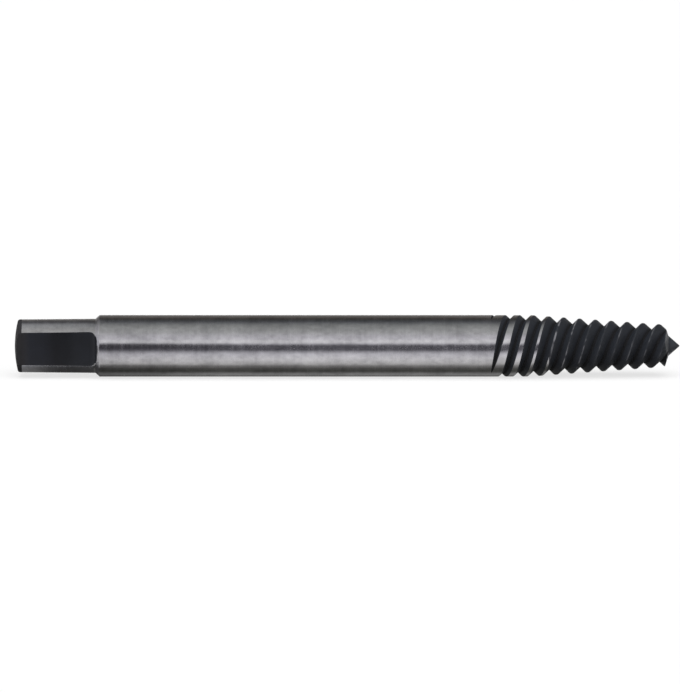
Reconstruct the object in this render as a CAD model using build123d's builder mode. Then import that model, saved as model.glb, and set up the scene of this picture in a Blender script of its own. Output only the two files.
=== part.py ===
from build123d import *
import os
from math import asin, atan2, ceil, cos, degrees, hypot, radians, sin, tan

# Screw extractor, millimetres: one solid piece of hardened tool steel.
# It lies on its ground shank along X, the drive flats at -X and the centre point at +X.
# Sizes at the drive end are measured from that end, the others back from the foot of the centre point.

# the whole tool
length = 68.0
shank_d = 6.3

# drive end: turned down, two parallel flats, a domed face
drive_d = 5.54
drive_end_d = 5.42
drive_length = 8.25
shoulder_length = 0.42
across_flats = 4.3
flat_length = 7.68
flat_runout_r = 0.75
end_dome_r = 10.8
end_edge_r = 0.28

# working end: lands ground just under the shank's size, cone, low conical end face, centre point
land_relief = 0.01
taper_length = 14.02
taper_angle = 4.06
face_rise = 0.38
point_d = 2.06
point_length = 1.12
point_nose_r = 0.1

# left-hand flutes, their section taken in a plane through the axis
flute_starts = 3
pitch = 1.622
crest_width = 0.114
flank_angle_drive = 47.1
flank_angle_tip = 44.5
root_width = 0.08
full_flute_length = 16.95
first_flute_turn = 130.0
runout_turn = 118.0
runout_drift = 0.25
start_lift = 0.1
start_turn = 540.0
cutter_margin = 0.04
sections_per_turn = 15

# places and sizes that follow
axis_height = shank_d / 2
face_x = length - point_length
taper_x = face_x - taper_length
full_flute_x = face_x - full_flute_length
taper = tan(radians(taper_angle))
lead = pitch * flute_starts
plain_x = full_flute_x - lead * runout_turn / 360
section_turn = 360 / sections_per_turn
flank_run_drive = tan(radians(flank_angle_drive))
flank_run_tip = tan(radians(flank_angle_tip))
steepness = 1 / (1 / flank_run_drive - taper) + 1 / (1 / flank_run_tip + taper)
flute_depth = (pitch - crest_width - root_width) / steepness
cutter_height = flute_depth * (1 + taper) + cutter_margin


def axial_plane(turn):
    """Plane that holds the axis: x runs from the drive end, y points outward at the turn from +Y."""
    side = radians(turn)
    return Plane((-length / 2, 0, axis_height), x_dir=(1, 0, 0), z_dir=(0, -sin(side), cos(side)))


def cone_radius(x):
    """Radius of the working end's cone, carried on past the shank's own radius."""
    return shank_d / 2 - land_relief - taper * (x - taper_x)


def flute_section(start, step):
    """V section across a flute, one step of turn after another. It runs out of the steel at the start of the
    flute, and past that it is start_lift shallower at first and reaches full depth after start_turn."""
    turn = step * section_turn
    x = full_flute_x + lead * turn / 360
    first_cut = shank_d / 2 - cone_radius(full_flute_x) + flute_depth - start_lift
    runout = first_cut * (min(turn, 0) / runout_turn) ** 2
    lift = start_lift * (1 - (min(max(turn, 0), start_turn) / start_turn) ** 2)
    root_x = x + flank_run_tip * (runout_drift * runout + lift)
    root_y = cone_radius(x) - flute_depth + runout + lift
    top_y = root_y + cutter_height
    with BuildSketch(axial_plane(first_flute_turn + start * 360 / flute_starts - turn)) as section:
        with BuildLine():
            Polyline(
                (root_x - root_width / 2, root_y),
                (root_x + root_width / 2, root_y),
                (root_x + root_width / 2 + cutter_height * flank_run_tip, top_y),
                (root_x - root_width / 2 - cutter_height * flank_run_drive, top_y),
                close=True,
            )
        make_face()
    return section.sketch


with BuildPart() as extractor:
    # turned blank
    with BuildSketch(axial_plane(90)) as profile:
        with BuildLine():
            dome_turn = degrees(asin(drive_end_d / 2 / end_dome_r))
            dome = CenterArc((end_dome_r, 0), end_dome_r, 180, -dome_turn)
            nose_x = length - point_nose_r
            point_slant = hypot(nose_x - face_x, point_d / 2)
            point_angle = atan2(point_d / 2, nose_x - face_x) - asin(point_nose_r / point_slant)
            nose = CenterArc((nose_x, 0), point_nose_r, 0, 90 - degrees(point_angle))
            Polyline(
                dome @ 1,
                (drive_length, drive_d / 2),
                (drive_length + shoulder_length, shank_d / 2),
                (plain_x, shank_d / 2),
                (taper_x, cone_radius(taper_x)),
                (face_x - face_rise, cone_radius(face_x - face_rise)),
                (face_x, point_d / 2),
                nose @ 1,
            )
            Line(nose @ 0, dome @ 0)
        make_face()
        fillet(profile.vertices().sort_by_distance(dome @ 1)[0], end_edge_r)
    revolve(axis=Axis((0, 0, axis_height), (1, 0, 0)))

    # drive flats, each ending in the radius of its cutter
    for turn in (0, 180):
        with BuildSketch(axial_plane(turn)) as flat:
            with Locations((flat_length + flat_runout_r, across_flats / 2)):
                Rectangle(2 * drive_length, shank_d, align=(Align.MAX, Align.MIN))
            fillet(flat.vertices().group_by(Axis.Y)[0].sort_by(Axis.X)[-1], flat_runout_r)
        extrude(amount=shank_d / 2, both=True, mode=Mode.SUBTRACT)

    # flutes, each cut by lofts of one turn through sections in planes that hold the axis
    cutter_reach = (full_flute_length + cutter_height * flank_run_drive) / lead * sections_per_turn
    steps = range(-ceil(runout_turn / section_turn), ceil(cutter_reach) + 1)
    for start in range(flute_starts):
        for first in steps[:-1:sections_per_turn]:
            turn_steps = [step for step in steps if first <= step <= first + sections_per_turn]
            loft([flute_section(start, step) for step in turn_steps], mode=Mode.SUBTRACT)

extractor.part.label = "extractor"

os.makedirs("parts", exist_ok=True)
export_step(extractor.part, "parts/extractor.step")
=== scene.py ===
"""Looks of the screw extractor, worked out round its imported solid.

The steel is one closed surface. Rows run from the middle of the drive end to the end of the centre point,
columns run round the axis, and each point has a place along the axis, a radius and a turn from +Y toward +Z.
Lengths are millimetres, measured from the drive end, until a mesh is made in metres.
"""
import math

import bpy
import numpy as np
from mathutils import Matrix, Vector


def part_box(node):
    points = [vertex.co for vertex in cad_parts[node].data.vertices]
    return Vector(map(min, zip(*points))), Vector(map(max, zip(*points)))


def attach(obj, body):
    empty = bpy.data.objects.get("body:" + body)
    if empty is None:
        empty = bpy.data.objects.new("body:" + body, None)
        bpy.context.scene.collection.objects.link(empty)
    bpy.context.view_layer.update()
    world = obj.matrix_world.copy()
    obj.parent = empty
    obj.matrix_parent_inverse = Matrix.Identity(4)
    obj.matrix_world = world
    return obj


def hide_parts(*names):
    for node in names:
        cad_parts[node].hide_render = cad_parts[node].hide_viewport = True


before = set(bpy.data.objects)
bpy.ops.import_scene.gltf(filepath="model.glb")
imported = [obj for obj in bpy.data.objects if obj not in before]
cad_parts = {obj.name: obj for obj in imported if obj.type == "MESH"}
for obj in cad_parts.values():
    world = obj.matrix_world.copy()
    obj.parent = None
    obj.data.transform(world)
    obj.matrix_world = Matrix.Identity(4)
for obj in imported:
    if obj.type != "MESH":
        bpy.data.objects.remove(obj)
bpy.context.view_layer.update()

MM = 0.001
low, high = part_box("extractor")

# The whole tool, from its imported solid
LENGTH = (high.x - low.x) / MM
SHANK_R = (high.z - low.z) / 2 / MM
AXIS_HEIGHT = (high.z + low.z) / 2 / MM

# Drive end: turned down, two parallel flats, a domed face, left black by the hardening next to that face
DRIVE_R = 2.77
DRIVE_END_R = 2.71
DRIVE_LENGTH = 8.25
SHOULDER_LENGTH = 0.42
ACROSS_FLATS = 4.3
FLAT_LENGTH = 7.68
FLAT_RUNOUT_R = 0.75
END_DOME_R = 10.8
END_EDGE_R = 0.28
BLACK_END_LENGTH = 0.72

# Working end: lands ground just under the shank's size, cone, low conical end face, centre point.
# The bright grinding ends at GROUND_END, a little way down the cone
LAND_RELIEF = 0.01
TAPER_LENGTH = 14.02
TAPER = math.tan(math.radians(4.06))
FACE_RISE = 0.38
POINT_R = 1.03
POINT_LENGTH = 1.12
POINT_NOSE_R = 0.1
GROUND_END = 54.6

# Left-hand flutes, their section taken in a plane through the axis
FLUTE_STARTS = 3
PITCH = 1.622
CREST_WIDTH = 0.114
ROOT_WIDTH = 0.08
RUN_DRIVE = math.tan(math.radians(47.1))
RUN_TIP = math.tan(math.radians(44.5))
FULL_FLUTE_LENGTH = 16.95
FIRST_FLUTE_TURN = 130.0
RUNOUT_TURN = 118.0
RUNOUT_DRIFT = 0.25
START_LIFT = 0.1
START_TURN = 540.0

# The roots of the flutes are matt, and darkened by painted shade, this far to either side
ROOT_SHADE = 0.2

# Columns of the surface: in a quarter turn, on a flat, and on each side of the flat's edge
QUARTER_COLUMNS = 48
FLAT_COLUMNS = 20
EDGE_COLUMNS = 2

# The rounding of an edge, and the wider one of the tumbled edges of the flats
EDGE = 0.02
FLAT_EDGE = 0.03

# Rows of the fluted stretch: how far before the flutes they begin, how near to its ends they may come, and in
# how many steps the edges of a groove are found. Points that agree to within WELD become one
FLUTED_MARGIN = 0.1
LEAST_STRIP = 0.004
FLANK_STEPS = 6
WELD = 1e-5

# Places and sizes that follow
FACE_X = LENGTH - POINT_LENGTH
TAPER_X = FACE_X - TAPER_LENGTH
FULL_FLUTE_X = FACE_X - FULL_FLUTE_LENGTH
LEAD = PITCH * FLUTE_STARTS
PLAIN_X = FULL_FLUTE_X - LEAD * RUNOUT_TURN / 360
FLUTED_X = PLAIN_X - FLUTED_MARGIN
FLAT_END_X = FLAT_LENGTH + FLAT_RUNOUT_R
STEEPNESS = 1 / (1 / RUN_DRIVE - TAPER) + 1 / (1 / RUN_TIP + TAPER)
FLUTE_DEPTH = (PITCH - CREST_WIDTH - ROOT_WIDTH) / STEEPNESS
ROOT_BLEND = ROOT_WIDTH * (1 / RUN_DRIVE + 1 / RUN_TIP)
EDGE_MIDDLE_R = DRIVE_END_R - END_EDGE_R
EDGE_X = END_DOME_R - math.sqrt((END_DOME_R - END_EDGE_R) ** 2 - EDGE_MIDDLE_R ** 2)

LEVEL_TURNS = np.linspace(0, 360, 4 * QUARTER_COLUMNS + 1)


def soft_min(one, other, reach):
    """The lesser of two heights, the corner where they cross rounded by a parabola from -reach to +reach."""
    near = np.clip(reach - np.abs(one - other), 0, None)
    return np.minimum(one, other) - near ** 2 / (4 * reach)


def spread(places, steps):
    """Points at even steps from each place to the next, the last place included, along a new last axis."""
    parts = [
        near[..., None] + (far - near)[..., None] * np.arange(count) / count
        for near, far, count in zip(places[:-1], places[1:], steps)
    ]
    return np.concatenate([*parts, places[-1][..., None]], axis=-1)


def cone_radius(x):
    """Radius of the cone of the crests, which carries on past the shank's own radius."""
    return SHANK_R - LAND_RELIEF - TAPER * (x - TAPER_X)


def ground_radius(x):
    """Radius of the ground envelope: the shank, the lands a hair under it, and the cone."""
    land = SHANK_R - LAND_RELIEF * np.clip((x - PLAIN_X) / (TAPER_X - PLAIN_X), 0, 1)
    return np.minimum(land, cone_radius(x))


def blank_radius(x):
    """Radius of the turned blank: straight lines between its corners, drive end to end of the cone."""
    corners = [
        (EDGE_X, DRIVE_END_R),
        (DRIVE_LENGTH, DRIVE_R),
        (DRIVE_LENGTH + SHOULDER_LENGTH, SHANK_R),
        (PLAIN_X, SHANK_R),
        (TAPER_X, cone_radius(TAPER_X)),
        (FACE_X, cone_radius(FACE_X)),
    ]
    return np.interp(x, *zip(*corners))


def flat_height(x):
    """Height of a drive flat over the axis: level, then up the quarter circle that its cutter leaves."""
    arc = FLAT_RUNOUT_R - np.sqrt(FLAT_RUNOUT_R ** 2 - np.clip(x - FLAT_LENGTH, 0, FLAT_RUNOUT_R) ** 2)
    return ACROSS_FLATS / 2 + arc + np.where(x > FLAT_END_X, SHANK_R, 0)


def flatted_radius(x, turns):
    """The blank's radius, or the flat's height over the cosine of the turn from the flat if that is less."""
    return soft_min(blank_radius(x), flat_height(x) / np.abs(np.cos(np.radians(turns))), FLAT_EDGE)


def flatted_turns(x):
    """Turns of the columns, one row per x. Some lie on the edges of both flats and close beside them."""
    flat_x = np.minimum(x, FLAT_END_X)
    height = flat_height(flat_x)
    edge = np.arccos(height / np.maximum(blank_radius(flat_x), height + FLAT_EDGE / 2))
    beside = np.minimum(FLAT_EDGE * np.cos(edge) / (height * np.tan(edge)), edge / 3)
    places = [0 * edge, edge - beside, edge, edge + beside, 0 * edge + math.pi / 2]
    round_columns = QUARTER_COLUMNS - FLAT_COLUMNS - 2 * EDGE_COLUMNS
    quarter = np.degrees(spread(places, [FLAT_COLUMNS, EDGE_COLUMNS, EDGE_COLUMNS, round_columns]))
    half = np.concatenate([quarter, 180 - quarter[:, -2::-1]], axis=1)
    return np.concatenate([half, 180 + half[:, 1:]], axis=1)


def drive_face():
    """Domed face: rows are shares of the outline's radius, and x is the dome's circle or that of its edge."""
    meeting_turn = math.asin(EDGE_MIDDLE_R / (END_DOME_R - END_EDGE_R))
    edge_turns = np.linspace(meeting_turn, math.pi / 2, 8)
    shares = np.concatenate([
        np.linspace(0, 0.86, 8),
        (EDGE_MIDDLE_R + END_EDGE_R * np.sin(edge_turns)) / DRIVE_END_R,
    ])[:, None]
    turns = flatted_turns(np.full(len(shares), EDGE_X))
    radius = shares * flatted_radius(EDGE_X, turns)
    dome = END_DOME_R - np.sqrt(END_DOME_R ** 2 - radius ** 2)
    edge = EDGE_X - np.sqrt(np.clip(END_EDGE_R ** 2 - (radius - EDGE_MIDDLE_R) ** 2, 0, None))
    meeting_r = END_DOME_R * math.sin(meeting_turn)
    return np.where(radius < meeting_r, dome, edge), radius, turns


def drive_and_shank(outline_x):
    """Flatted end and shank: rows at places along the axis, close at each corner, from the face's outline on.
    Past the flats the columns even out again, in proportion to x."""
    first_x = EDGE_X + 3 * EDGE
    even_x = 14.0
    next_x = even_x + 3
    shoulder_x = DRIVE_LENGTH + SHOULDER_LENGTH
    near_edge = np.array([-EDGE, 0, EDGE])
    x = np.unique(np.concatenate([
        np.linspace(first_x, BLACK_END_LENGTH - EDGE, 2),
        np.linspace(BLACK_END_LENGTH + EDGE, FLAT_LENGTH, 8),
        FLAT_LENGTH + FLAT_RUNOUT_R * np.sin(np.linspace(0.1, math.pi / 2, 18)),
        DRIVE_LENGTH + near_edge,
        FLAT_END_X + near_edge[2:],
        shoulder_x + near_edge,
        np.linspace(shoulder_x + 0.15, even_x, 16),
        np.linspace(next_x, FLUTED_X - EDGE, 10),
    ]))[:, None]
    evened = np.clip((x - FLAT_END_X) / (even_x - FLAT_END_X), 0, 1)
    turns = flatted_turns(x[:, 0]) * (1 - evened) + LEVEL_TURNS * evened
    starts = np.array([0.08, 0.4])[:, None]
    start_x = outline_x + (first_x - outline_x) * starts
    start_turns = flatted_turns(np.full(len(starts), EDGE_X))
    x = np.concatenate([start_x, np.broadcast_to(x, turns.shape)])
    turns = np.concatenate([start_turns, turns])
    return x, flatted_radius(x, turns), turns


def groove(number, turns):
    """A V groove of the three, counted along the axis: x and radius of its root at each turn round the axis.
    It runs out of the steel by the square of the turn to go, and past that it is a little shallower at first.
    As it lifts there, it drifts so that its tip flank stays put, and a quarter as much as it runs out."""
    turn = FIRST_FLUTE_TURN + 360 / FLUTE_STARTS * number - turns
    helix_x = FULL_FLUTE_X + LEAD * turn / 360
    first_cut = SHANK_R - cone_radius(FULL_FLUTE_X) + FLUTE_DEPTH - START_LIFT
    runout = first_cut * np.clip(-turn / RUNOUT_TURN, 0, 1.2) ** 2
    lift = START_LIFT * (1 - np.clip(turn / START_TURN, 0, 1) ** 2)
    root_x = helix_x + RUN_TIP * (RUNOUT_DRIFT * runout + lift)
    return root_x, cone_radius(helix_x) - FLUTE_DEPTH + runout + lift


# Numbers of the grooves. They go past the fluted stretch at both ends, so each groove in it has neighbours
GROOVES = range(-4, 16)


def fluted_radius(x, turns):
    """The blank's radius, or the height of the lowest groove there: its root, rounded, or the flank on
    either side, a straight line in the plane through the axis."""
    floor = np.full(np.broadcast_shapes(x.shape, turns.shape), 2 * SHANK_R)
    for number in GROOVES:
        root_x, root_r = groove(number, turns)
        drive_flank = (root_x - ROOT_WIDTH / 2 - x) / RUN_DRIVE
        tip_flank = (x - ROOT_WIDTH / 2 - root_x) / RUN_TIP
        floor = np.minimum(floor, root_r - soft_min(-drive_flank, -tip_flank, ROOT_BLEND))
    return soft_min(blank_radius(x), floor, EDGE)


def root_share(x, turns):
    """1 along the root of every groove, and 0 from ROOT_SHADE away from it."""
    away = np.full(np.broadcast_shapes(x.shape, turns.shape), LENGTH)
    for number in GROOVES:
        away = np.minimum(away, np.abs(x - groove(number, turns)[0]))
    return np.clip(2 - 2 * away / ROOT_SHADE, 0, 1)


def groove_edges(number, turns):
    """Where the two flanks of a groove reach the ground envelope, found by stepping up each flank."""
    root_x, root_r = groove(number, turns)
    edges = []
    for way, run in ((-1, RUN_DRIVE), (1, RUN_TIP)):
        edge_x = root_x
        for _ in range(FLANK_STEPS):
            rise = np.clip(ground_radius(edge_x) - root_r, 0, None)
            edge_x = root_x + way * (ROOT_WIDTH / 2 + run * rise)
        edges.append(edge_x)
    return edges


def face_edge(turns):
    """Where the flutes and crests meet the conical end face, found by halving the stretch that it lies in."""
    near = np.full(turns.shape, FACE_X - FACE_RISE)
    far = np.full(turns.shape, FACE_X)
    rim_r = cone_radius(FACE_X - FACE_RISE)
    halvings = 24
    for _ in range(halvings):
        middle = (near + far) / 2
        face_r = POINT_R + (rim_r - POINT_R) * (FACE_X - middle) / FACE_RISE
        past = fluted_radius(middle, turns) > face_r
        near, far = np.where(past, near, middle), np.where(past, middle, far)
    return far


def fluted_end():
    """Lands, crests and flutes. From groove to groove the rows keep to its own lines, edge, root and edge, so
    they follow the helix; rows that would pass an end of this stretch fall together on it and are welded."""
    turns = LEVEL_TURNS
    edges = np.array([groove_edges(number, turns) for number in GROOVES])
    crest_x = (edges[:-1, 1] + edges[1:, 0]) / 2
    rows = []
    for place, number in enumerate(GROOVES[1:-1]):
        drive_edge, tip_edge = edges[place + 1]
        root_x = groove(number, turns)[0]
        root_drive = np.maximum(root_x - ROOT_WIDTH, 0.6 * drive_edge + 0.4 * root_x)
        root_tip = np.minimum(root_x + ROOT_WIDTH, 0.6 * tip_edge + 0.4 * root_x)
        crest_drive = np.minimum(EDGE, 0.35 * (drive_edge - crest_x[place]))
        crest_tip = np.minimum(EDGE, 0.35 * (crest_x[place + 1] - tip_edge))
        flank_drive = np.minimum(EDGE, 0.3 * (root_drive - drive_edge))
        flank_tip = np.minimum(EDGE, 0.3 * (tip_edge - root_tip))
        places = [
            crest_x[place], drive_edge - crest_drive, drive_edge, drive_edge + flank_drive,
            root_drive, root_x, root_tip,
            tip_edge - flank_tip, tip_edge, tip_edge + crest_tip, crest_x[place + 1],
        ]
        rows.append(spread(places, [1, 2, 2, 3, 3, 3, 3, 2, 2, 1])[:, :-1].T)
    x = np.concatenate(rows)
    x = np.where(x < FLUTED_X + LEAST_STRIP, FLUTED_X, x)
    end_x = face_edge(turns)
    x = np.where(x > end_x - LEAST_STRIP, end_x, x)
    return x, fluted_radius(x, turns), np.broadcast_to(turns, x.shape)


def end_face_and_point(outline_x, outline_r):
    """End face: rows go straight from the fluted outline to the point's circle. Then the point's straight
    side, and its nose, an arc that ends on the axis."""
    shares = np.array([0.02, 0.3, 0.65, 0.97, 1.0])[:, None]
    face_x = outline_x * (1 - shares) + FACE_X * shares
    face_r = outline_r * (1 - shares) + POINT_R * shares
    nose_x = LENGTH - POINT_NOSE_R
    slant = math.hypot(nose_x - FACE_X, POINT_R)
    half_angle = math.atan2(POINT_R, nose_x - FACE_X) - math.asin(POINT_NOSE_R / slant)
    nose_turns = np.linspace(math.pi / 2 - half_angle, 0, 7)
    side = np.array([0.03, 0.35, 0.7, 0.97])
    nose = np.stack([nose_x + POINT_NOSE_R * np.cos(nose_turns), POINT_NOSE_R * np.sin(nose_turns)], axis=1)
    base = np.array([FACE_X, POINT_R])
    point = np.concatenate([base + (nose[0] - base) * side[:, None], nose])
    point_shape = (len(point), LEVEL_TURNS.size)
    x = np.concatenate([face_x, np.broadcast_to(point[:, :1], point_shape)])
    radius = np.concatenate([face_r, np.broadcast_to(point[:, 1:], point_shape)])
    return x, radius, np.broadcast_to(LEVEL_TURNS, radius.shape)


def steel_surface():
    """All rows in order, from the middle of the drive end to the end of the point: x, radius and turn."""
    face = drive_face()
    shank = drive_and_shank(face[0][-1])
    fluted = fluted_end()
    tip = end_face_and_point(fluted[0][-1], fluted[1][-1])
    return [np.concatenate(rows) for rows in zip(face, shank, fluted, tip)]


def welded(points, faces):
    """Points that fall together become one, and triangles that lose a corner by it are left out."""
    keys = np.round(points / WELD).astype(np.int64)
    _, first, number = np.unique(keys, axis=0, return_index=True, return_inverse=True)
    faces = number.ravel()[faces]
    whole = (faces[:, 0] != faces[:, 1]) & (faces[:, 1] != faces[:, 2]) & (faces[:, 2] != faces[:, 0])
    return first, faces[whole]


def build_extractor(materials):
    """The tool as one mesh: a grid of rows and columns, each cell two triangles that face outward. The
    attribute ground is 1 on the ground envelope and 0 a little under it and at both ends, and the attribute
    root is 1 along the roots of the flutes, where the oxide gets painted shade."""
    x, radius, turns = steel_surface()
    angle = np.radians(turns)
    points = np.stack([
        x - LENGTH / 2,
        radius * np.cos(angle),
        AXIS_HEIGHT + radius * np.sin(angle),
    ], axis=-1).reshape(-1, 3)
    points[:, 1:] = np.where(np.abs(points[:, 1:]) < WELD / 10, 0, points[:, 1:])

    number = np.arange(x.size).reshape(x.shape)
    a, b = number[:-1, :-1].ravel(), number[:-1, 1:].ravel()
    c, d = number[1:, 1:].ravel(), number[1:, :-1].ravel()
    faces = np.concatenate([np.stack([a, b, c], axis=1), np.stack([a, c, d], axis=1)])
    kept, faces = welded(points, faces)

    envelope = np.where(x > PLAIN_X, ground_radius(x), blank_radius(x))
    depth = np.where(x < FLAT_END_X, FLAT_EDGE / 8, EDGE / 2)
    ground = np.clip(1 - (envelope - radius) / depth, 0, 1) * (x > BLACK_END_LENGTH)
    ground = ground.ravel()[kept]
    root = (root_share(x, turns) * (x > PLAIN_X) * (x < FACE_X)).ravel()[kept]
    along = x.ravel()[kept]

    mesh = bpy.data.meshes.new("extractor_steel")
    mesh.from_pydata((points[kept] * MM).tolist(), [], faces.tolist())
    mesh.shade_smooth()
    mesh.attributes.new("ground", "FLOAT", "POINT").data.foreach_set("value", ground)
    mesh.attributes.new("root", "FLOAT", "POINT").data.foreach_set("value", root)
    face_x = along[faces].mean(axis=1)
    least = np.where(face_x < FLAT_END_X, 0.9, 0.5)
    bright = (ground[faces].mean(axis=1) > least) & (face_x < GROUND_END)
    for material in materials:
        mesh.materials.append(material)
    mesh.polygons.foreach_set("material_index", np.where(bright, 0, 1).astype(np.int32))
    mesh.update()
    steel = bpy.data.objects.new("extractor_steel", mesh)
    bpy.context.scene.collection.objects.link(steel)
    return steel


def linear(hex_colour):
    """An sRGB hex colour as the linear RGBA that Blender works in."""
    shares = [int(hex_colour[i:i + 2], 16) / 255 for i in (1, 3, 5)]
    return [s / 12.92 if s <= 0.04045 else ((s + 0.055) / 1.055) ** 2.4 for s in shares] + [1.0]


def add_node(tree, kind, inputs=None, **settings):
    """Adds a node with its settings. An input is given a value, or the output that it is linked to."""
    node = tree.nodes.new(kind)
    for name, value in settings.items():
        setattr(node, name, value)
    for name, value in (inputs or {}).items():
        if isinstance(value, bpy.types.NodeSocket):
            tree.links.new(value, node.inputs[name])
        else:
            node.inputs[name].default_value = value
    return node


def new_material(name):
    """An empty node material: the tree, and the output that its shader goes to."""
    material = bpy.data.materials.new(name)
    material.use_nodes = True
    material.node_tree.nodes.clear()
    return material, material.node_tree, add_node(material.node_tree, "ShaderNodeOutputMaterial")


def calculated(tree, operation, *values):
    """A number worked out from others, each of them a value or an output."""
    return add_node(tree, "ShaderNodeMath", dict(enumerate(values)), operation=operation).outputs[0]


def ranged(tree, value, start, end, at_start=0.0, at_end=1.0):
    """A number that goes straight from one value to another between start and end, and no farther."""
    inputs = {"Value": value, "From Min": start, "From Max": end, "To Min": at_start, "To Max": at_end}
    return add_node(tree, "ShaderNodeMapRange", inputs, clamp=True).outputs[0]


def blended(tree, share, one, other, how="MIX"):
    """One colour mixed with another by a share, or combined with it in the way that how says."""
    inputs = {0: share, 6: one, 7: other}
    return add_node(tree, "ShaderNodeMix", inputs, data_type="RGBA", blend_type=how).outputs[2]


def object_place(tree):
    """Object coordinates as three numbers, X, Y and Z."""
    place = add_node(tree, "ShaderNodeTexCoord").outputs["Object"]
    return add_node(tree, "ShaderNodeSeparateXYZ", {0: place}).outputs


def surface_share(tree, name):
    """A share from 0 to 1 that the mesh carries as an attribute."""
    return add_node(tree, "ShaderNodeAttribute", attribute_name=name).outputs["Fac"]


def cells(tree, along, across):
    """Object coordinates counted in cells of these sizes in millimetres, along the axis and across it."""
    place = add_node(tree, "ShaderNodeTexCoord").outputs["Object"]
    scale = (1 / (along * MM), 1 / (across * MM), 1 / (across * MM))
    return add_node(tree, "ShaderNodeMapping", {"Vector": place, "Scale": scale}).outputs["Vector"]


def noise(tree, place, detail, roughness):
    """A cloudy pattern of values about 0.5, one cell wide."""
    inputs = {"Vector": place, "Scale": 1.0, "Detail": detail, "Roughness": roughness}
    return add_node(tree, "ShaderNodeTexNoise", inputs).outputs["Fac"]


def ramp_between(tree, value, stops):
    """Colours by value, straight from each stop to the next. A stop is its value and its hex colour."""
    lowest, highest = stops[0][0], stops[-1][0]
    ramp = add_node(tree, "ShaderNodeValToRGB", {"Fac": ranged(tree, value, lowest, highest)})
    elements = ramp.color_ramp.elements
    for _ in stops[2:]:
        elements.new(0.5)
    for element, (place, colour) in zip(elements, stops):
        element.position = (place - lowest) / (highest - lowest)
        element.color = linear(colour)
    return ramp.outputs["Color"]


# Ground steel: its patterns as cells along the axis and across it, its two tones and the sums of the patterns
# that give them, and its roughness
GROUND_LINES = (0.34, 4.0)
GROUND_CLOUDS = (0.7, 0.5)
GROUND_BANKS = (2.6, 1.6)
GROUND_WAVES = (1.6, 1.0)
GROUND_DARK, GROUND_LIGHT = "#adacaf", "#d4d3d6"
GROUND_SUMS = (0.85, 1.65)
GROUND_ROUGHNESS = (0.21, 0.29)
WAVE_HEIGHT = 0.008
LINE_HEIGHT = 0.004

# The part of a noise's values that patterns are stretched over
NOISE_SPAN = (0.3, 0.7)


def ground_steel():
    """Hardened tool steel, ground between wheels. It is bright and grey, and the wheel's fine lines run round
    it, so a reflection stays sharp across the tool and is drawn out along it. Slow waves in the ground
    surface make the edges of reflections wander a little."""
    material, tree, output = new_material("ground_tool_steel")
    lines = noise(tree, cells(tree, *GROUND_LINES), 2.0, 0.5)
    clouds = noise(tree, cells(tree, *GROUND_CLOUDS), 2.0, 0.5)
    banks = noise(tree, cells(tree, *GROUND_BANKS), 1.0, 0.5)
    tone = calculated(tree, "MULTIPLY_ADD", lines, 0.5, calculated(tree, "ADD", clouds, banks))
    shade = ranged(tree, tone, *GROUND_SUMS)
    waves = add_node(tree, "ShaderNodeBump", {
        "Height": noise(tree, cells(tree, *GROUND_WAVES), 1.0, 0.5),
        "Strength": 1.0, "Distance": WAVE_HEIGHT * MM})
    bump = add_node(tree, "ShaderNodeBump", {
        "Height": lines, "Strength": 0.3, "Distance": LINE_HEIGHT * MM, "Normal": waves.outputs[0]})
    tangent = add_node(tree, "ShaderNodeTangent", direction_type="RADIAL", axis="X")
    shader = add_node(tree, "ShaderNodeBsdfPrincipled", {
        "Base Color": blended(tree, shade, linear(GROUND_DARK), linear(GROUND_LIGHT)), "Metallic": 1.0,
        "Roughness": ranged(tree, lines, *NOISE_SPAN, *GROUND_ROUGHNESS),
        "Anisotropic": 0.8, "Anisotropic Rotation": 0.25,
        "Normal": bump.outputs[0], "Tangent": tangent.outputs[0]})
    tree.links.new(shader.outputs[0], output.inputs["Surface"])
    return material


# Tone of the black skin by place along the tool: brownish on the drive's end, uneven on the flats, a little
# lighter on the flutes, and paler on the point
SKIN = [
    (0.0, "#323132"), (0.9, "#2a292c"), (1.6, "#22242b"), (2.9, "#202229"), (4.2, "#15161b"),
    (5.4, "#16181d"), (6.2, "#1f2126"), (FLAT_END_X, "#22252b"), (PLAIN_X, "#282b31"), (FACE_X, "#282b31"),
    (FACE_X + 0.3, "#34383e"), (LENGTH, "#2e3033"),
]
# Painted shade: the darker tone that the roots of the flutes take
ROOT_PAINTED_SHADE = "#18181a"
SKIN_PATCHES, SKIN_GRAIN = (1.3, 1.3), (0.16, 0.16)
SKIN_ROUGHNESS = (0.38, 0.5)

# What the patches multiply the skin's tone by, and the part of their noise that this is stretched over
PATCH_DARK, PATCH_LIGHT = "#ecebea", "#fdfeff"
PATCH_SPAN = (0.35, 0.65)

# Roughness added on the end of the drive and along the roots of the flutes
MATT_END = 0.4
MATT_ROOT = 0.4

# Steel that shows through on worn crests: its tone, the size of the gaps between such places, the part of
# their noise that goes from gap to steel, and how much shows where the grinding ends and at the end face
WORN_TONE = "#b0afb4"
WORN_GAPS = (0.9, 0.9)
WORN_SPAN = (0.45, 0.65)
WORN_FIRST, WORN_LAST = 0.5, 0.1


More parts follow.
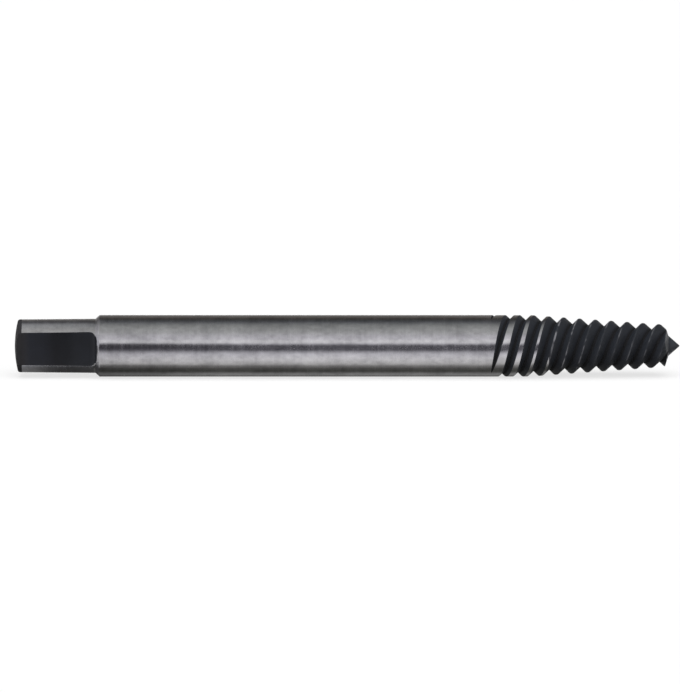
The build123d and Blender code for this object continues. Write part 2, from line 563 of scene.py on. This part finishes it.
def black_oxide():
    """The black skin that hardening and tempering leave on milled steel. It is dark and half matt, blue-black
    with brown in places, and quite matt on the end of the drive and along the roots of the flutes, where it
    is also darkened by painted shade. Wear has taken it off the first crests in places, where the steel
    shines through."""
    material, tree, output = new_material("black_oxide_on_tool_steel")
    patches = noise(tree, cells(tree, *SKIN_PATCHES), 4.0, 0.6)
    grain = noise(tree, cells(tree, *SKIN_GRAIN), 2.0, 0.6)
    gaps = ranged(tree, noise(tree, cells(tree, *WORN_GAPS), 1.0, 0.5), *WORN_SPAN)
    along = object_place(tree)["X"]
    root = surface_share(tree, "root")

    patchy = blended(tree, ranged(tree, patches, *PATCH_SPAN), linear(PATCH_DARK), linear(PATCH_LIGHT))
    tone = ramp_between(tree, along, [((x - LENGTH / 2) * MM, colour) for x, colour in SKIN])
    # The skin's tone, darkened along the roots of the flutes by painted shade
    skin = blended(tree, root, blended(tree, 1.0, tone, patchy, "MULTIPLY"), linear(ROOT_PAINTED_SHADE))

    first, last = (GROUND_END - LENGTH / 2) * MM, (FACE_X - LENGTH / 2) * MM
    fade = ranged(tree, along, first, last, WORN_FIRST, WORN_LAST)
    worn = calculated(tree, "MULTIPLY", surface_share(tree, "ground"), fade)
    wear = calculated(tree, "MULTIPLY", worn, gaps)

    end = BLACK_END_LENGTH - LENGTH / 2
    matt_end = ranged(tree, along, end * MM, (end + BLACK_END_LENGTH) * MM, MATT_END, 0.0)
    rough = calculated(tree, "ADD", ranged(tree, grain, *NOISE_SPAN, *SKIN_ROUGHNESS), matt_end)
    bump = add_node(tree, "ShaderNodeBump", {"Height": grain, "Strength": 0.5, "Distance": 0.01 * MM})
    shader = add_node(tree, "ShaderNodeBsdfPrincipled", {
        "Base Color": blended(tree, wear, skin, linear(WORN_TONE)), "Metallic": wear,
        "Roughness": calculated(tree, "MULTIPLY_ADD", root, MATT_ROOT, rough),
        "Specular IOR Level": 0.35, "Normal": bump.outputs[0]})
    tree.links.new(shader.outputs[0], output.inputs["Surface"])
    return material


# Room: a white floor, a tent of soft light, and glowing cards that only mirror-like surfaces see, which paint
# reflections on the steel
FLOOR_END = 3000.0
FLOOR_TONE, FLOOR_TONE_SOFT = "#fbfbfb", "#8c8c8c"
FLOOR_WHITE = 0.72
CARD_END = 900.0
CARD_HEIGHT = 0.01


def stage_piece(name, corners, faces, material):
    """A plain mesh that belongs to the room, its corners in millimetres."""
    mesh = bpy.data.meshes.new(name)
    mesh.from_pydata([[value * MM for value in corner] for corner in corners], [], faces)
    mesh.materials.append(material)
    piece = bpy.data.objects.new(name, mesh)
    bpy.context.scene.collection.objects.link(piece)
    return piece


def flat_sheet(name, along, beside, height, material):
    """A sheet that lies level at a height, between two places along X and two along Y."""
    corners = [
        (along[0], beside[0], height), (along[1], beside[0], height),
        (along[1], beside[1], height), (along[0], beside[1], height),
    ]
    return stage_piece(name, corners, [(0, 1, 2, 3)], material)


def lay_floor():
    """The white floor, level with the lowest line of the shank. It is matt, and to the camera the greater
    part of it is plain white, which lightens the tool's shadow without more light on the tool. Light that
    matt surfaces get from it is weaker, as if the dark cards lay there for them too."""
    material, tree, output = new_material("white_floor")
    ray = add_node(tree, "ShaderNodeLightPath").outputs
    tone = blended(tree, ray["Is Diffuse Ray"], linear(FLOOR_TONE), linear(FLOOR_TONE_SOFT))
    paper = add_node(tree, "ShaderNodeBsdfDiffuse", {"Color": tone})
    white = add_node(tree, "ShaderNodeEmission", {"Color": linear("#ffffff")})
    share = calculated(tree, "MULTIPLY", ray["Is Camera Ray"], FLOOR_WHITE)
    mix = add_node(tree, "ShaderNodeMixShader", {0: share, 1: paper.outputs[0], 2: white.outputs[0]})
    tree.links.new(mix.outputs[0], output.inputs["Surface"])
    flat_sheet("floor", (-FLOOR_END, FLOOR_END), (-FLOOR_END, FLOOR_END), 0.0, material)


def only_reflected(card):
    """Leaves a card to reflections: neither the camera nor soft light nor shadows know of it."""
    card.visible_camera = False
    card.visible_diffuse = False
    card.visible_shadow = False
    card.visible_transmission = False


def lay_card(name, along, stops, shade):
    """A glowing card beside or under the tool, between two places along X, that only reflections see: its
    colour is a painted reflection. It goes by the stops, each a place along Y and a colour, times a shade by
    place along X."""
    material, tree, output = new_material(name)
    place = object_place(tree)
    beside = ramp_between(tree, place["Y"], [(y * MM, colour) for y, colour in stops])
    lengthwise = ramp_between(tree, place["X"], [(x * MM, colour) for x, colour in shade])
    colour = blended(tree, 1.0, beside, lengthwise, "MULTIPLY")
    glow = add_node(tree, "ShaderNodeEmission", {"Color": colour})
    tree.links.new(glow.outputs[0], output.inputs["Surface"])
    only_reflected(flat_sheet(name, along, (stops[0][0], stops[-1][0]), CARD_HEIGHT, material))


def stand_card():
    """A dark card upright before the left of the shank, which only reflections see: painted shade in its
    reflection. It is a thin veil above, and clears toward the middle of the tool."""
    material, tree, output = new_material("left_card")
    place = object_place(tree)
    shares = [
        ramp_between(tree, place[axis], [(value * MM, share) for value, share in stops])
        for axis, stops in (("X", LEFT_CARD_ALONG), ("Z", LEFT_CARD_UPWARD))
    ]
    clear = add_node(tree, "ShaderNodeBsdfTransparent")
    dark = add_node(tree, "ShaderNodeEmission", {"Color": linear(LEFT_CARD_TONE)})
    mix = add_node(tree, "ShaderNodeMixShader", {
        0: calculated(tree, "MULTIPLY", *shares), 1: clear.outputs[0], 2: dark.outputs[0]})
    tree.links.new(mix.outputs[0], output.inputs["Surface"])
    start, end = LEFT_CARD_ALONG[0][0], LEFT_CARD_ALONG[-1][0]
    foot, top = LEFT_CARD_UPWARD[0][0], LEFT_CARD_UPWARD[-1][0]
    corners = [(x, LEFT_CARD_AWAY, z) for x, z in ((start, foot), (end, foot), (end, top), (start, top))]
    only_reflected(stage_piece("left_card", corners, [(0, 1, 2, 3)], material))


def elevation(tree, y, z):
    """Turn round the tool's axis in radians, from level in front (0) over the top to level behind (pi)."""
    return calculated(tree, "ARCTAN2", z, calculated(tree, "MULTIPLY", y, -1.0))


def arch_turn(mirrored):
    """Where a reflection of the drive end, seen by the camera, meets the arch, as a turn round the axis in
    radians. The reflection is given by the elevation of its direction in degrees. It leaves the steel where
    the surface faces midway between that direction and the camera."""
    facing = math.radians((mirrored + CAMERA_ELEVATION) / 2)
    way = math.radians(mirrored)
    along = DRIVE_R * math.cos(way - facing)
    reach = math.sqrt(along ** 2 + ARCH_R ** 2 - DRIVE_R ** 2) - along
    front = DRIVE_R * math.cos(facing) + reach * math.cos(way)
    up = DRIVE_R * math.sin(facing) + reach * math.sin(way)
    return math.atan2(up, front)


def hang_arch(name, along, mirrored_stops, aslant_stops):
    """A glowing card bent to an arch over the tool's axis, between two places along X, that only reflections
    see and that paints reflections on the drive end. Its colour goes by the stops, each the elevation in
    degrees at which the drive end mirrors it, and a colour. The shoulder looks along it and so sees it
    aslant. For that it has other stops, each a place on the arch in degrees, and a colour, a painted
    reflection on the shoulder."""
    stops = [(arch_turn(turn), colour) for turn, colour in mirrored_stops]
    material, tree, output = new_material(name)
    place = object_place(tree)
    turned = elevation(tree, place["Y"], calculated(tree, "SUBTRACT", place["Z"], AXIS_HEIGHT * MM))
    across = ramp_between(tree, turned, stops)
    lengthwise = ramp_between(tree, turned, [(math.radians(turn), colour) for turn, colour in aslant_stops])
    ray = add_node(tree, "ShaderNodeNewGeometry").outputs["Incoming"]
    ray_x = add_node(tree, "ShaderNodeSeparateXYZ", {0: ray}).outputs["X"]
    aslant = ranged(tree, ray_x, ASLANT_FROM, ASLANT_FULL)
    glow = add_node(tree, "ShaderNodeEmission", {"Color": blended(tree, aslant, across, lengthwise)})
    tree.links.new(glow.outputs[0], output.inputs["Surface"])
    turns = np.linspace(stops[0][0], stops[-1][0], ARCH_ROWS)
    corners = [
        (x, -ARCH_R * math.cos(turn), AXIS_HEIGHT + ARCH_R * math.sin(turn)) for turn in turns for x in along
    ]
    faces = [(first, first + 1, first + 3, first + 2) for first in range(0, len(corners) - 2, 2)]
    only_reflected(stage_piece(name, corners, faces, material))


# Where the cards of the drive end meet those of the shank, just before the shoulder
SHOULDER_MARGIN = 0.15
SHOULDER = DRIVE_LENGTH - LENGTH / 2 - SHOULDER_MARGIN
DRIVE_SIDE = (-CARD_END, SHOULDER)
SHANK_SIDE = (SHOULDER, CARD_END)
ALL_ALONG = (-CARD_END, CARD_END)
EVEN = [(-1.0, "#ffffff"), (1.0, "#ffffff")]

# Colours of the cards by place along Y, painted reflections of the floor round the tool. The one in front is
# dark except near the tool, and draws the stripe along the middle of the shank; the one under the shank draws
# the dark band near its lower edge, a painted shadow of the tool on the floor, and the line below that. Their
# shades by place along X are painted shade, darker toward the drive end
FAR_CARD = [(-CARD_END, "#5b5a60"), (-26.0, "#5b5a60")]
FRONT_CARD = [
    (-26.0, "#5b5a60"), (-17.9, "#9e9da3"), (-13.6, "#bbbabf"), (-11.2, "#d0cfd4"), (-9.5, "#e2e1e6"),
    (-8.2, "#e7e6ea"), (-6.2, "#edecee"), (-4.9, "#e9e8e8"), (-4.4, "#e1e0e0"), (-3.95, "#dad9d8"),
    (-3.54, "#c5c4c2"),
]
FRONT_SHADE = [(-26.0, "#ececec"), (-18.0, "#f4f4f4"), (-10.0, "#ffffff")]
SHANK_CARD = [
    (-3.54, "#c5c4c2"), (-3.35, "#adacaa"), (-3.1, "#878685"), (-2.85, "#807f7c"), (-2.6, "#5e5d5b"),
    (-2.41, "#5b5b58"), (-2.2, "#4f504c"), (-2.01, "#4d4e4a"), (-1.82, "#5b5b58"), (-1.62, "#797977"),
    (-1.42, "#8c8c8a"), (-1.22, "#8e8e8c"), (-0.98, "#767674"), (1.5, "#787878"),
]
SHANK_SHADE = [(-25.2, "#c8c8c8"), (-20.0, "#dcdcdc"), (-13.0, "#ffffff")]

# Under the drive end, which shows its flat in front: bright where the shoulder mirrors it, a painted
# reflection, then painted reflections for the narrow strip of turned steel under the flat, with painted shade
# that darkens them toward the shoulder
SHOULDER_CARD = [(-3.54, "#f0f0f2"), (-2.3, "#f0f0f2")]
DRIVE_CARD = [
    (-2.3, "#9a9ca0"), (-2.1, "#8e9094"), (-1.85, "#868789"), (-1.59, "#7c7d7e"), (-1.31, "#7c7c7c"),
    (-1.0, "#747474"), (1.5, "#808080"),
]
DRIVE_SHADE = [
    (-33.0, "#ffffff"), (-32.4, "#f8f8f8"), (-31.4, "#d4d4d4"), (-30.6, "#a8a8a8"), (-29.7, "#949494"),
    (-28.3, "#8f8f8f"), (-26.9, "#969696"),
]

# Before the left of the shank, where the dark stripe is deeper and reaches a little higher, this card paints
# that deeper shade into the reflection. The card covers what is behind it by the product of two shares, one
# by place along X and one by height, white for all of it
LEFT_CARD_TONE = "#434247"
LEFT_CARD_AWAY = -15.0
LEFT_CARD_ALONG = [(-30.0, "#ffffff"), (-19.0, "#ffffff"), (-10.0, "#000000")]
LEFT_CARD_UPWARD = [
    (2.7, "#ffffff"), (6.5, "#ffffff"), (8.4, "#636363"), (14.0, "#636363"), (19.0, "#000000"),
]

# Over the drive end, whose upper strip is brighter than the shank at the same elevations: the arch paints
# that brighter reflection
ARCH_R = 8.0
ARCH_ROWS = 41
ARCH_ALONG = (-40.0, SHOULDER)
ARCH = [
    (60, "#c4c5c4"), (78, "#c0c0be"), (89, "#b6b7b5"), (95, "#b2b3b2"), (101, "#abadad"), (107, "#a5a7a7"),
    (114, "#9b9c9d"), (121, "#848587"), (129, "#606163"), (138, "#565658"), (148, "#636261"),
    (165, "#84827f"),
]

# The arch's tones for reflections that meet it aslant, which paint a brighter reflection on the shoulder. How
# far aslant is the share of the ray's way along X: from the first share on they begin to count, and from the
# second they are all that counts
ARCH_ASLANT = [
    (60, "#c4c5c4"), (90, "#c8c8ca"), (100, "#dadadc"), (106, "#c6c6c8"), (112, "#a8a8a9"), (119, "#808081"),
    (126, "#5c5c5d"), (140, "#5c5c5d"), (165, "#84827f"),
]
ASLANT_FROM = 0.4
ASLANT_FULL = 0.55

# The tent's colour by elevation, from below straight in front (0) over the top (90) to straight behind (180)
TENT = [
    (-20, "#5d5c62"), (11, "#5d5c62"), (18, "#e9e8ed"), (22, "#ffffff"), (27, "#ffffff"), (33, "#ebe9ee"),
    (45, "#dad9dd"), (60, "#c0c1c0"), (80, "#aaacaa"), (92, "#979997"), (102, "#7f8182"), (112, "#5a5c5f"),
    (125, "#474847"), (136, "#4c4844"), (143, "#676460"), (160, "#7a7773"), (172, "#949290"),
    (190, "#b8b8b8"),
]

# The tent's ends are even panels, the brighter one beyond the drive end, and the bands go over into them at
# these shares of the way along X
TENT_ENDS = [(-1.0, "#dedfe6"), (1.0, "#b4b4b6")]
TENT_END_FROM = 0.7
TENT_END_FULL = 0.92


def light_tent():
    """World light. Its colour depends on the elevation round the tool's axis, so it draws level bands along
    the shank, and it closes with an even panel at each end. The camera sees plain white instead."""
    world = bpy.data.worlds.new("light_tent")
    bpy.context.scene.world = world
    world.use_nodes = True
    tree = world.node_tree
    tree.nodes.clear()
    way = add_node(tree, "ShaderNodeTexCoord").outputs["Generated"]
    parts = add_node(tree, "ShaderNodeSeparateXYZ", {0: way}).outputs
    turned = elevation(tree, parts["Y"], parts["Z"])
    bands = ramp_between(tree, turned, [(math.radians(turn), colour) for turn, colour in TENT])
    closed = ranged(tree, calculated(tree, "ABSOLUTE", parts["X"]), TENT_END_FROM, TENT_END_FULL)
    light = blended(tree, closed, bands, ramp_between(tree, parts["X"], TENT_ENDS))
    ray = add_node(tree, "ShaderNodeLightPath").outputs
    seen = blended(tree, ray["Is Camera Ray"], light, linear("#ffffff"))
    background = add_node(tree, "ShaderNodeBackground", {"Color": seen, "Strength": 1.0})
    output = add_node(tree, "ShaderNodeOutputWorld")
    tree.links.new(background.outputs[0], output.inputs["Surface"])


# The lamp: its power, how wide it spreads in degrees, and the way to it
LAMP_POWER = 2.35
LAMP_SPREAD = 70
LAMP_WAY = Vector((0, -0.35, 1))


def hang_lamp():
    """One wide, even light from above and a little in front, which whitens the floor. Mirror-like surfaces
    see the tent instead of it."""
    lamp = bpy.data.lights.new("overhead", "SUN")
    lamp.energy = LAMP_POWER
    lamp.angle = math.radians(LAMP_SPREAD)
    hung = bpy.data.objects.new("overhead", lamp)
    hung.rotation_euler = LAMP_WAY.to_track_quat("Z", "Y").to_euler()
    hung.visible_glossy = False
    bpy.context.scene.collection.objects.link(hung)


# Camera, from the photograph: the tool spans it almost from side to side
CAMERA_ELEVATION = 9.0
CAMERA_DISTANCE = 1600.0
PICTURE_WIDTH = 69.58
AIM_X = -0.73
AIM_BELOW_AXIS = 0.02
SENSOR_WIDTH = 36.0


def place_camera():
    """A long lens in front of the tool and a little above it, which looks along +Y."""
    rise = math.radians(CAMERA_ELEVATION)
    aim = Vector((AIM_X, 0, AXIS_HEIGHT - AIM_BELOW_AXIS)) * MM
    back = Vector((0, -math.cos(rise), math.sin(rise)))
    lens = bpy.data.cameras.new("camera")
    lens.sensor_fit = "HORIZONTAL"
    lens.sensor_width = SENSOR_WIDTH
    lens.lens = SENSOR_WIDTH * CAMERA_DISTANCE / PICTURE_WIDTH
    lens.clip_start = 0.01
    camera = bpy.data.objects.new("camera", lens)
    camera.location = aim + back * CAMERA_DISTANCE * MM
    camera.rotation_euler = back.to_track_quat("Z", "Y").to_euler()
    bpy.context.scene.collection.objects.link(camera)
    bpy.context.scene.camera = camera


place_camera()
light_tent()
hang_lamp()
lay_floor()
lay_card("far_card", ALL_ALONG, FAR_CARD, EVEN)
lay_card("front_card", ALL_ALONG, FRONT_CARD, FRONT_SHADE)
lay_card("shank_card", SHANK_SIDE, SHANK_CARD, SHANK_SHADE)
lay_card("shoulder_card", DRIVE_SIDE, SHOULDER_CARD, EVEN)
lay_card("drive_card", DRIVE_SIDE, DRIVE_CARD, DRIVE_SHADE)
stand_card()
hang_arch("drive_arch", ARCH_ALONG, ARCH, ARCH_ASLANT)

extractor = build_extractor([ground_steel(), black_oxide()])
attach(extractor, "root")
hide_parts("extractor")

bpy.context.scene.view_settings.view_transform = "Standard"
